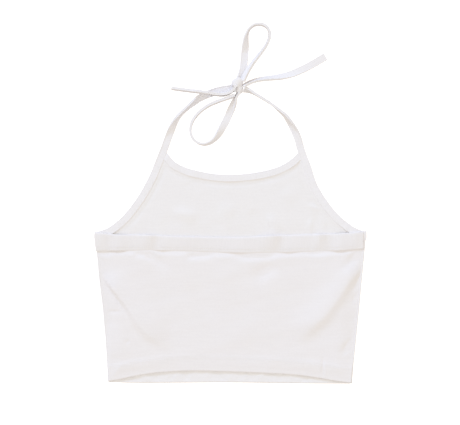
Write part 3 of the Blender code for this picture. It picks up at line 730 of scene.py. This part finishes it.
band = {"columns": 420, "tall": 2.4, "under": 0.06, "floor": 1.1, "climb": 1.3, "step": (138.0, 158.0),
        "lean": 40.0}
bandForm = [  # share of the depth from the top edge to the stitching, share of the height
    (0, 0.38), (0.02, 0.74), (0.05, 0.92), (0.12, 1), (0.25, 1.02), (0.42, 1), (0.6, 1), (0.76, 0.99),
    (0.83, 0.96), (0.87, 0.93), (0.90, 0.90), (0.935, 0.92), (0.965, 0.90), (1, 0.82),
]
lipForm = [  # distance below the stitching, share of the height
    (0.6, 0.85), (1.3, 0.86), (2.2, 0.80), (2.75, 0.68), (3, 0.46),
]
bandWaves = [  # x, width on the left, width on the right, lift of the upper edge, lift of the lower edge
    (-179, 7, 8, 2, 0), (-158, 10, 10, 0, 0.9), (-112, 11, 8, 3.4, 0),
    (-96, 8, 10, 0, 1.2), (-56, 16, 16, 1, 0.2), (10, 20, 14, 0, 1),
    (60, 16, 9, 4.6, 0.2), (80, 9, 12, 0, 1.2), (125, 7, 9, 3.2, 0),
    (150, 10, 12, 0, 1.2), (176, 8, 10, 1.6, 0),
]


def bandLift(x, share):
    # lift of the band at a share of its depth, 0 at the upper edge and 1 at the lower
    total = 0.0
    for place, left, right, upper, lower in bandWaves:
        bell = np.exp(-(((x - place) / np.where(x < place, left, right)) ** 2))
        total = total + bell * (upper * (1.0 - share) + lower * share)
    return total


def bandFloor(x):
    # the band climbs over the ends of the armhole bindings near both side seams
    return band["floor"] + band["climb"] * ramp(np.abs(x), *band["step"])


def makeBand():
    # section in y and z carried along x: rolled top edge, elastic, two stitched grooves, flat lip
    x = np.linspace(bandLine[0, 0], bandLine[-1, 0], band["columns"])
    upper = np.interp(x, bandLine[:, 0], bandLine[:, 1]) + 0.12 * drift(x, 17.0, 0.4)
    stitch = np.interp(x, bandLine[:, 0], bandLine[:, 2])
    t, crown = np.array(bandForm).T
    below, lip = np.array(lipForm).T
    depth = upper - stitch
    y = upper[:, None] - t[None, :] * depth[:, None]
    z = np.broadcast_to(crown * band["tall"], y.shape)
    lipY = stitch[:, None] - below[None, :] - 0.15 * drift(x, 11.0, 5.0)[:, None]
    lipZ = np.broadcast_to(lip * band["tall"], lipY.shape)
    underY = np.concatenate([lipY[:, ::-2], y[:, ::-3], upper[:, None] + 0.05], axis=1)
    underZ = np.full(underY.shape, band["under"])
    ys = np.concatenate([y, lipY, underY], axis=1)
    zs = np.concatenate([z, lipZ, underZ], axis=1)
    share = (upper[:, None] - ys) / depth[:, None]
    top = np.arange(ys.shape[1]) < ys.shape[1] - underY.shape[1]
    zs = zs + bandFloor(x)[:, None] + top * bandLift(x[:, None], share)
    lean = 1.0 - ramp(x, x[0], x[0] + band["lean"])
    xs = x[:, None] + lean[:, None] * (sideAt(ys, 0) - sideAt(upper[0], 0))
    rings = np.stack([xs, ys, zs], axis=-1)
    section = np.stack([ys[0], zs[0]], axis=1)
    return closeTube("backBand", rings, section, x, cloths["band"], "back_band"), x, stitch


backBand, bandX, bandStitch = makeBand()
print("band made")


# Bindings and ties: x, y, lift, roll in degrees and cup, along the middle of each strip

leftStrapRows = [
    (-88.1, 88.9, 0, 3, 0), (-83.6, 100.1, 0, 16, 0.6), (-78.2, 111.3, 0, 46, 1.6),
    (-74.6, 116.9, 0, 62, 2.2), (-70, 122.5, 0, 70, 2.4), (-64.4, 128.1, 0, 71, 2.4),
    (-58.2, 133.7, 0, 67, 2.4), (-51.5, 139.3, 0, 57, 2.2), (-44.8, 144.9, 0, 42, 1.5),
    (-36.6, 149.9, 0, 20, 0.6), (-28.1, 153.4, 0, 8, 0.3), (-21.1, 155.9, 0, 4, 0.2),
    (-12, 158.2, 0, 3, 0.2), (4.6, 160.5, 0, 2, 0.1),
]
rightStrapRows = [
    (94.4, 88.9, 0, -12, 0.3), (89.5, 100.1, 0, -26, 0.8), (86.2, 105.7, 0, -40, 1.4),
    (82.8, 111.3, 0, -52, 1.8), (79.1, 116.9, 0, -63, 1.8), (74.7, 122.5, 0, -73, 1.2),
    (69.9, 127, 0, -80, 0.6), (62.9, 133.1, 0, -87, 0.2), (55.9, 138.5, 0, -90, 0),
    (41.9, 147.3, 0, -89, 0), (35.5, 151, 0, -87, 0.1), (29.9, 154.2, 0, -80, 0.3),
    (24.6, 156.6, 0.3, -66, 0.5), (18.5, 157.8, 0.8, -60, 0.5),
]
bowRows = {
    "upperLoop": [
        (11.5, 171.2, 0.8, 38, 0), (15.4, 180, 0, 22, 0.3), (17.9, 189.7, 0, 8, 0.2),
        (19, 200.9, 0, 4, 0.2), (19.9, 210, 0, 8, 0.5), (20.6, 217.7, 0, 24, 0.8),
        (21.2, 226, 0, 46, 0.9), (22.7, 235.5, 0, 70, 0.5), (27, 244, 0, 83, 0.2),
        (34.9, 248.8, 0, 85, 0), (42.5, 249, 0, 85, 0), (49.5, 246, 0, 87, 0),
        (53.9, 239, 0, 86, 0), (54, 232, 0, 81, 0), (51.3, 223.6, 0, 76, 0),
        (44, 212.4, 0.2, 71, 0.1), (35.2, 201.1, 1.4, 66, 0.2), (26.9, 189.9, 2.6, 60, 0.3),
        (20.8, 179.4, 3.6, 54, 0.4), (16.4, 170.4, 4, 50, 0.4),
    ],
    "lowerLoop": [
        (11.6, 154.2, 0.6, 72, 0.3), (7.9, 149, 0.2, 72, 0.4), (6, 144.9, 0, 66, 0.6),
        (4, 138.6, 0, 42, 0.7), (0.2, 129.7, 0, 8, 0.2), (-5.4, 116.9, 0, -2, -0.2),
        (-11.3, 105.7, 0, -16, -0.6), (-18.1, 94.5, 0, -46, -0.9), (-23.5, 88.2, 0, -65, -0.8),
        (-29.5, 84, 0, -74, -0.4), (-38.5, 82, 0, -83, -0.1), (-47, 84.4, 0, -88, 0),
        (-53, 90.8, 0, -91, 0), (-55.8, 100.1, 0, -93, 0), (-54, 111.3, 0, -95, 0.1),
        (-47.2, 122.3, 0, -97, 0.2), (-35.1, 132.9, 0, -98, 0.3), (-21.1, 140, 0, -99, 0.3),
        (-7.1, 144.9, 0, -99, 0.3), (5.6, 149.6, 0, -98, 0.2),
    ],
    "leftTail": [
        (8.4, 164.4, 3.2, -90, 0), (5, 158.6, 2, -88, 0), (0.2, 154.2, 1.6, -86, 0),
        (-7.1, 151.2, 1.6, -84, 0), (-14.1, 150.5, 1.8, -83, 0.1), (-21.1, 151, 2.6, -82, 0.1),
        (-28.1, 152, 4, -81, 0.1), (-36, 153, 5.6, -80, 0.1), (-45, 154.5, 4.6, -80, 0.1),
        (-56, 156, 1.2, -80, 0.1), (-66, 157.4, 0, -81, 0.1), (-82.4, 159.6, 0, -82, 0.1),
    ],
    "rightTail": [
        (18.2, 163, 2.8, -64, 0.2), (21.6, 165.4, 2.4, -63, 0.3), (28, 168.8, 1.5, -64, 0.4),
        (34.9, 171.2, 0.7, -63, 0.5), (44, 173.1, 0, -58, 0.6), (55.9, 174.6, 0, -51, 0.6),
        (69.9, 176.4, 0, -40, 0.6), (83.9, 179.8, 0, -24, 0.6), (97.9, 185.6, 0, -11, 0.3),
        (111.9, 192.6, 0, -3, 0), (132.6, 204.8, 0, 0, 0),
    ],
}
tie = {"step": 1.5, "edgeGap": 1.9}


def tieRoute(edge, inward, strap):
    # half a strip inside the armhole's edge, then on through the strap's own rows
    middle = evenly(beside(edge, inward * cut["strip"] / 2), 20)
    return smoothLine([(x, y, 0.0, 0.0, 0.0) for x, y in middle] + strap, step=tie["step"])


def makeTie(name, route, openSides, node, seed):
    sections = [stripSection(cut["strip"], cut["stripWall"], *sides) for sides in openSides]
    return carryStrip(name, route, sections, cloths["tie"], node, cut["strip"], cut["stripWall"], seed)


leftRoute = tieRoute(leftEdge, -1, leftStrapRows)
rightRoute = tieRoute(rightEdge, 1, rightStrapRows)
leftTie = makeTie("leftTie", leftRoute, [(0.0, 0.2), (0.9, 0.0)], "left_tie", 0.3)
rightTie = makeTie("rightTie", rightRoute, [(0.2, 0.0), (0.0, 1.0)], "right_tie", 1.9)
bowSides = {
    "upperLoop": ([(0.3, 0.3), (1.0, 0.0)], "upper_loop"), "lowerLoop": ([(0.6, 0.2), (0.0, 1.0)], "lower_loop"),
    "leftTail": ([(0.0, 1.0)], "left_tail"), "rightTail": ([(0.2, 0.8), (0.2, 0.2)], "right_tail"),
}
bowRoutes = {}
for number, (name, (openSides, node)) in enumerate(bowSides.items()):
    bowRoutes[name] = smoothLine(bowRows[name], step=tie["step"])
    makeTie(name, bowRoutes[name], openSides, node, 0.7 + number)
print("ties made")


# Neckline binding, its ends tucked under the armhole bindings

neck = {"columns": 170, "tuckUnder": 0.55, "open": 0.2, "run": 200.0, "endRun": 9.0, "endThin": 0.25,
        "endLow": 0.2, "rise": 0.25}


def makeNeckBinding():
    # the strip's section between the outer and the inner line, lower and thinner at both ends
    left = beside(leftEdge, -cut["strip"] * neck["tuckUnder"])
    right = beside(rightEdge, cut["strip"] * neck["tuckUnder"])
    inner = beside(neckLine, -cut["neckStrip"])
    outer = evenly(neckLine[nearest(neckLine, left) : nearest(neckLine, right)], neck["columns"])
    inner = evenly(inner[nearest(inner, left) : nearest(inner, right)], neck["columns"])
    section = stripSection(cut["neckStrip"], cut["stripWall"], 0.0, neck["open"])
    share = 0.5 - section[:, 0] / cut["neckStrip"]
    along = np.linspace(0.0, neck["run"], neck["columns"])
    swell = 1.0 + strip["swell"] * drift(along, 23.0, 2.0)
    flat = outer[:, None] + share[None, :, None] * (inner - outer)[:, None]
    low = 1.0 - ramp(np.minimum(along, neck["run"] - along), 0.0, neck["endRun"])
    lift = cut["stripWall"] / 2 - neck["endLow"] * low
    lift = lift + neck["rise"] * (1.0 + drift(along, 47.0, 1.2)) * (1.0 - low)
    height = section[None, :, 1] * (swell * (1.0 - neck["endThin"] * low))[:, None] + lift[:, None]
    height = np.maximum(height, strip["ground"])
    rings = np.concatenate([flat, height[..., None]], axis=2)
    return closeTube("neckBinding", rings, section, along, cloths["tie"], "neck_binding"), inner


neckBinding, neckInner = makeNeckBinding()
print("neck binding made")


# Knot: two wraps of the tie over a hidden core

knot = {"wall": 2.0, "sweep": 125.0, "columns": 60, "run": 30.0, "pleat": 0.22, "pleatWide": 3.4, "shift": -2.6,
        "ground": 0.15}
core = {"centre": (11.0, 163.6, 5.0), "reach": 4.6, "skew": 1.6, "half": 8.0, "tall": 4.8, "rows": 13, "sides": 32,
        "pole": 0.97, "girth": 5.0}
knotWraps = [  # name, centre x, y, z, heading in degrees, half reach, half height, width, narrow end share, crown
    ("knotUpperWrap", 9.4, 167.8, 5.6, -14.0, 7.0, 6.6, 13.4, 0.50, 1.6),
    ("knotLowerWrap", 12.2, 158.3, 4.6, -8.0, 4.5, 5.3, 10.6, 0.80, 1.8),
]


def makeWrap(name, x, y, z, heading, reach, tall, width, narrow, crown):
    # a strip bent round an upright oval: across its width it falls away as crown * (across / half)^2,
    # and it widens from the narrow share of its width at the first end to the whole at its middle
    turn = np.radians(np.linspace(-knot["sweep"], knot["sweep"], knot["columns"]))
    direction = np.array([np.cos(np.radians(heading)), np.sin(np.radians(heading)), 0.0])
    level = np.array([-direction[1], direction[0], 0.0])
    section = stripSection(width, knot["wall"], 0.0, 0.0)
    widen = narrow + (1.0 - narrow) * ramp(turn, np.radians(-85.0), np.radians(-5.0))
    across = section[None, :, 0] * widen[:, None]
    pleat = knot["pleat"] * np.sin(wave * section[:, 0] / knot["pleatWide"] + 0.8) * np.sign(section[:, 1])
    fall = crown * (across / (width / 2)) ** 2
    grow = section[None, :, 1] + pleat[None, :] * np.sin(turn)[:, None] ** 2 - fall
    along = (reach + grow) * np.sin(turn)[:, None]
    up = (tall + grow) * np.cos(turn)[:, None]
    shift = (1.0 - widen)[:, None] * knot["shift"]
    rings = (np.array([x, y, z]) + along[..., None] * direction + (across + shift)[..., None] * level
             + up[..., None] * np.array([0.0, 0.0, 1.0]))
    rings[..., 2] = np.maximum(rings[..., 2], knot["ground"])
    run = np.linspace(0.0, knot["run"], knot["columns"])
    return closeTube(name, rings, section, run, cloths["tie"], "bow_knot")


def makeCore():
    # oval lump inside the knot, skewed to the left: rings of girth sqrt(1 - level^2)
    turn = np.linspace(0.0, 2 * np.pi, core["sides"] + 1)[:-1]
    level = np.linspace(-core["pole"], core["pole"], core["rows"])
    girth = np.sqrt(1.0 - level**2)[:, None]
    x = core["reach"] * girth * np.cos(turn) - core["skew"] * girth * np.sin(turn)
    y = core["half"] * girth * np.sin(turn)
    z = np.broadcast_to(core["tall"] * level[:, None], y.shape)
    rings = np.array(core["centre"]) + np.stack([x, y, z], axis=-1)
    section = np.stack([np.cos(turn), np.sin(turn)], axis=1) * core["girth"]
    return closeTube("knotCore", rings, section, level * core["girth"], cloths["tie"], "bow_knot")


knotPieces = [makeWrap(*row) for row in knotWraps] + [makeCore()]
print("knot made")


# Small folded end of the right binding past the band

tab = {"left": 184.6, "low": -62.5, "high": -40.0, "narrow": 3.2, "wider": 1.9, "step": (-52.8, -51.2),
       "slope": 0.16, "slopeFrom": -45.0, "lift": 2.2, "crown": 0.35, "wall": 1.2}


def makeTab():
    # a little sheet whose right edge steps in below the binding, its top edge rising to the right
    y = np.linspace(tab["low"], tab["high"], 40)[:, None]
    reach = tab["narrow"] + tab["wider"] * ramp(y, *tab["step"])
    step = np.linspace(0.0, 1.0, 12)[None, :] * reach
    y = y + tab["slope"] * step * ramp(y, tab["slopeFrom"], tab["high"])
    z = tab["lift"] + tab["crown"] * ramp(np.minimum(step, reach - step), 0.0, 2.0)
    middle = np.stack([tab["left"] + step, y, z], axis=-1)
    wall = np.full(z.shape, tab["wall"])
    return clothShell("bindingEnd", middle, wall, middle, cloths["tie"], "right_tie")


bindingEnd = makeTab()


# Stitching

sewAt = {"hemY": -235.0, "tieShare": 0.46, "faceShare": 0.86, "bandShare": 0.80, "topAbove": 2.3, "topLift": 0.35,
         "neckShare": 0.93}


def hemRow(offset):
    # along the back's hem, at its depth less the offset, on the cloth's upper face
    x = np.linspace(backSide(sewAt["hemY"], 0) + 1.5, backSide(sewAt["hemY"], 1) - 2.0, 700)
    y = hemAt(backHemLine, x) + cut["hemDepth"] - offset
    keep = (x > backSide(y, 0) + 0.8) & (x < backSide(y, 1) - 0.8)
    x = x[keep]
    y = y[keep]
    return np.stack([x, y, backHeight(x, y)], axis=1)


def stripRow(route, edge):
    # stitches on the strip's upper face along one of its edges, over the armhole's share of its length
    centre, side, face = stripFrame(route, cut["strip"], cut["stripWall"])
    across = edge * (cut["strip"] / 2 - tie["edgeGap"])
    up = cut["stripWall"] / 2 * sewAt["faceShare"] - stripDip(across, cut["strip"], route[:, 4])
    line = centre + across * side + up[:, None] * face
    return line[: int(sewAt["tieShare"] * (len(line) - 1)) + 1]


def sewAll():
    # every row of stitches as a line of x, y, z
    rows = {}
    for number, offset in enumerate(twinRows):
        rows[f"hemStitches{number + 1}"] = hemRow(offset)
    x = bandX[3:-3]
    y = bandStitch[3:-3]
    z = bandFloor(x) + bandLift(x, 1.0) + band["tall"] * sewAt["bandShare"]
    rows["bandStitches"] = np.stack([x, y, z], axis=1)
    rows["bandTopStitches"] = np.stack([x, y + sewAt["topAbove"], z + sewAt["topLift"]], axis=1)
    rows["leftTieStitches"] = stripRow(leftRoute, -1)
    rows["rightTieStitches"] = stripRow(rightRoute, 1)
    left = beside(neckLine, -(cut["neckStrip"] - tie["edgeGap"]))
    left = left[nearest(left, beside(leftEdge, -cut["strip"])) : nearest(left, beside(rightEdge, cut["strip"]))]
    rows["neckStitches"] = np.column_stack([left, np.full(len(left), cut["stripWall"] * sewAt["neckShare"])])
    return {name: sewRow(name, line, cloths["thread"], **sewing) for name, line in rows.items()}


stitches = sewAll()
print("stitches sewn")
# Floor and light

light = {"key": 1.1, "elevation": 25.0, "azimuth": 28.0, "softness": 13.0, "keyColour": (0.40, 0.61, 1.0),
         "dome": 0.850, "domeColour": (1.0, 0.960, 0.897)}
ground = {"half": 6.0, "height": -0.0002, "colour": (0.66, 0.59, 0.55), "glow": 1.0}  # in metres


def makeFloor():
    # one square, white to the camera and a little tanned to the cloth that stands on it
    mesh = bpy.data.meshes.new("floor")
    corners = ground["half"] * np.array([(-1, -1), (1, -1), (1, 1), (-1, 1)])
    mesh.from_pydata([(x, y, ground["height"]) for x, y in corners.tolist()], [], [(0, 1, 2, 3)])
    floor = bpy.data.objects.new("floor", mesh)
    scene.collection.objects.link(floor)
    material = bpy.data.materials.new("white ground")
    material.use_nodes = True
    nodes = material.node_tree.nodes
    link = material.node_tree.links.new
    shader = nodes["Principled BSDF"]
    shader.inputs["Base Color"].default_value = (*ground["colour"], 1.0)
    shader.inputs["Roughness"].default_value = 1.0
    shader.inputs["Specular IOR Level"].default_value = 0.0
    glow = nodes.new("ShaderNodeEmission")
    path = nodes.new("ShaderNodeLightPath")
    amount = nodes.new("ShaderNodeMath")
    amount.operation = "MULTIPLY"
    amount.inputs[1].default_value = ground["glow"]
    both = nodes.new("ShaderNodeAddShader")
    link(path.outputs["Is Camera Ray"], amount.inputs[0])
    link(amount.outputs[0], glow.inputs["Strength"])
    link(shader.outputs[0], both.inputs[0])
    link(glow.outputs[0], both.inputs[1])
    link(both.outputs[0], nodes["Material Output"].inputs["Surface"])
    mesh.materials.append(material)


def makeLight():
    # an even warm dome and one low cool window from the upper left of the picture
    world = bpy.data.worlds.new("studio")
    world.use_nodes = True
    sky = world.node_tree.nodes["Background"]
    sky.inputs["Color"].default_value = (*light["domeColour"], 1.0)
    sky.inputs["Strength"].default_value = light["dome"]
    scene.world = world
    sun = bpy.data.lights.new("window", "SUN")
    sun.energy = light["key"]
    sun.angle = np.radians(light["softness"])
    sun.color = light["keyColour"]
    lamp = bpy.data.objects.new("window", sun)
    lamp.rotation_euler = (-np.radians(90.0 - light["elevation"]), 0.0, np.radians(light["azimuth"]))
    scene.collection.objects.link(lamp)


makeFloor()
makeLight()
print("floor and light ready")
